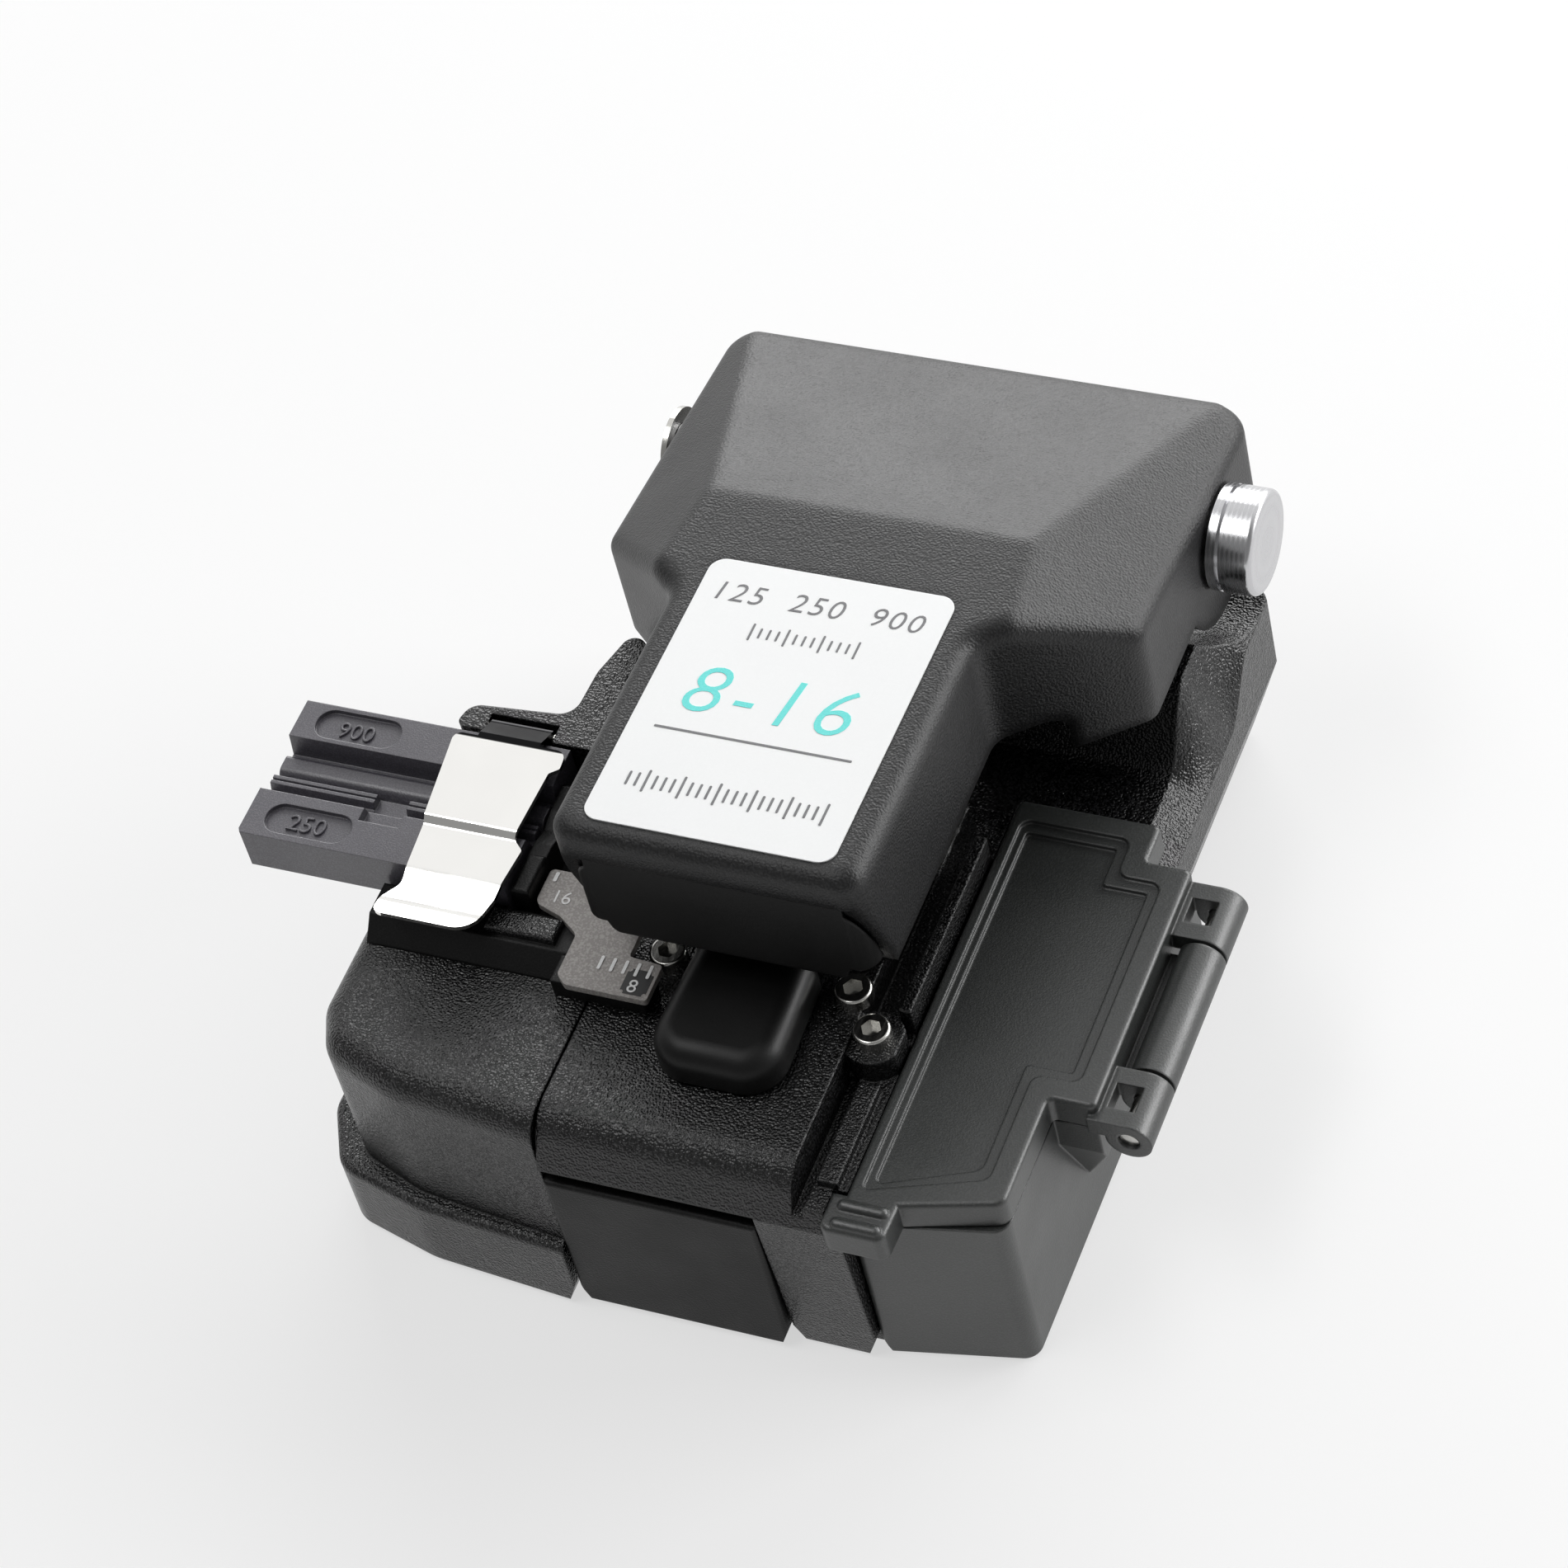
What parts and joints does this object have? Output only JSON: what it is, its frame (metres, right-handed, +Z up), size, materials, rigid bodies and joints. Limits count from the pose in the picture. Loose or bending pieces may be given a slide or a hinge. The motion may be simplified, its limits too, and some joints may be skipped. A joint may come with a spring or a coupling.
{
  "type": "fibre cleaver",
  "caption": "Bench optical-fibre cleaver with a hinged lever, carriage-borne round blade, sliding fibre adapter and a lidded side box for fibre ends.",
  "frame": {"origin": "on the table under the cleave plane, at the mat's lower face", "axes": "+Z up, +Y towards the lever's hinge at the back, +X towards the scrap box; the blade turns in the plane x = 0"},
  "size_m": [0.0749, 0.0726, 0.0411],
  "materials": {
    "textured_black": "fine spark-eroded moulding texture",
    "satin_black": "smooth satin moulding",
    "rubber_black": "soft matt rubber",
    "cast_black": "satin black coat on metal",
    "anodised_black": "black anodised",
    "grey_plastic": "satin grey",
    "grey_plate": "matt grey with white scale marks",
    "label_white": "white printed film",
    "screw_steel": "bright plated steel",
    "ground_steel": "ground steel",
    "polished_leaf": "polished spring steel",
    "turned_alloy": "fine turned",
    "carbide": "ground carbide"
  },
  "bodies": {
    "body": {"base_mat": "rubber_black", "base_plate": "cast_black", "base_screws": "screw_steel", "centre_body": "textured_black", "left_shell": "textured_black", "rear_body": "textured_black", "front_panel": "satin_black", "deck_screws": "screw_steel", "guide_rail": "ground_steel", "rail_screws": "screw_steel", "lower_clamp_left": "cast_black", "lower_clamp_right": "cast_black", "lower_pads": "rubber_black", "adapter_bed": "satin_black", "grip_strip": "textured_black", "fibre_guide": "satin_black", "guide_cap": "grey_plastic", "scale_plate": "grey_plate", "leaf_pin": "screw_steel", "scrap_box": "satin_black", "box_screws": "screw_steel", "lid_pin": "screw_steel", "lever_springs": "ground_steel"},
    "lever": {"lever_cover": "textured_black", "lever_label": "label_white", "lever_frame": "satin_black", "lever_screws": "screw_steel", "upper_clamp_left": "cast_black", "upper_clamp_right": "cast_black", "upper_pads": "rubber_black", "anvil": "ground_steel", "anvil_pad": "rubber_black", "drive_arm": "ground_steel"},
    "lock_pin": {"lock_pin": "turned_alloy", "pin_clip": "screw_steel"},
    "carriage": {"carriage_slide": "anodised_black", "carriage_cover": "satin_black", "link_pin": "screw_steel"},
    "blade": {"blade_wheel": "carbide", "blade_hub": "ground_steel"},
    "link": {"drive_link": "ground_steel"},
    "lid": {"scrap_lid": "satin_black"},
    "leaf": {"clamp_leaf": "polished_leaf"},
    "adapter": {"adapter_bar": "satin_black"}
  },
  "joints": [
    {"name": "lever_hinge", "type": "hinge", "parent": "body", "child": "lever", "pos_m": [0, 0.0305, 0.0275], "axis": [-1, 0, 0], "range_deg": [0, 30]},
    {"name": "lock_slide", "type": "slide", "parent": "body", "child": "lock_pin", "axis": [1, 0, 0], "range_m": [0, 0.0012]},
    {"name": "carriage_slide", "type": "slide", "parent": "body", "child": "carriage", "axis": [0, 1, 0], "range_m": [-0.00476, 0]},
    {"name": "blade_turn", "type": "hinge", "parent": "carriage", "child": "blade", "pos_m": [0, -0.0038, 0.0166], "axis": [1, 0, 0], "continuous": true},
    {"name": "link_swing", "type": "hinge", "parent": "lever", "child": "link", "pos_m": [0, 0.0305, 0.018], "axis": [1, 0, 0], "range_deg": [0, 33.6]},
    {"name": "lid_hinge", "type": "hinge", "parent": "body", "child": "lid", "pos_m": [0.0297, -0.007, 0.017], "axis": [0, 1, 0], "range_deg": [0, 120]},
    {"name": "leaf_hinge", "type": "hinge", "parent": "body", "child": "leaf", "pos_m": [-0.0253, 0.00105, 0.0259], "axis": [-1, 0, 0], "range_deg": [0, 70]},
    {"name": "adapter_slide", "type": "slide", "parent": "body", "child": "adapter", "axis": [-1, 0, 0], "range_m": [0, 0.012]}
  ],
  "couplings": [
    {"joint": "carriage_slide", "follows": "lever_hinge", "m_per_rad": -0.0090718},
    {"joint": "link_swing", "follows": "lever_hinge", "ratio": 1.1097}
  ]
}
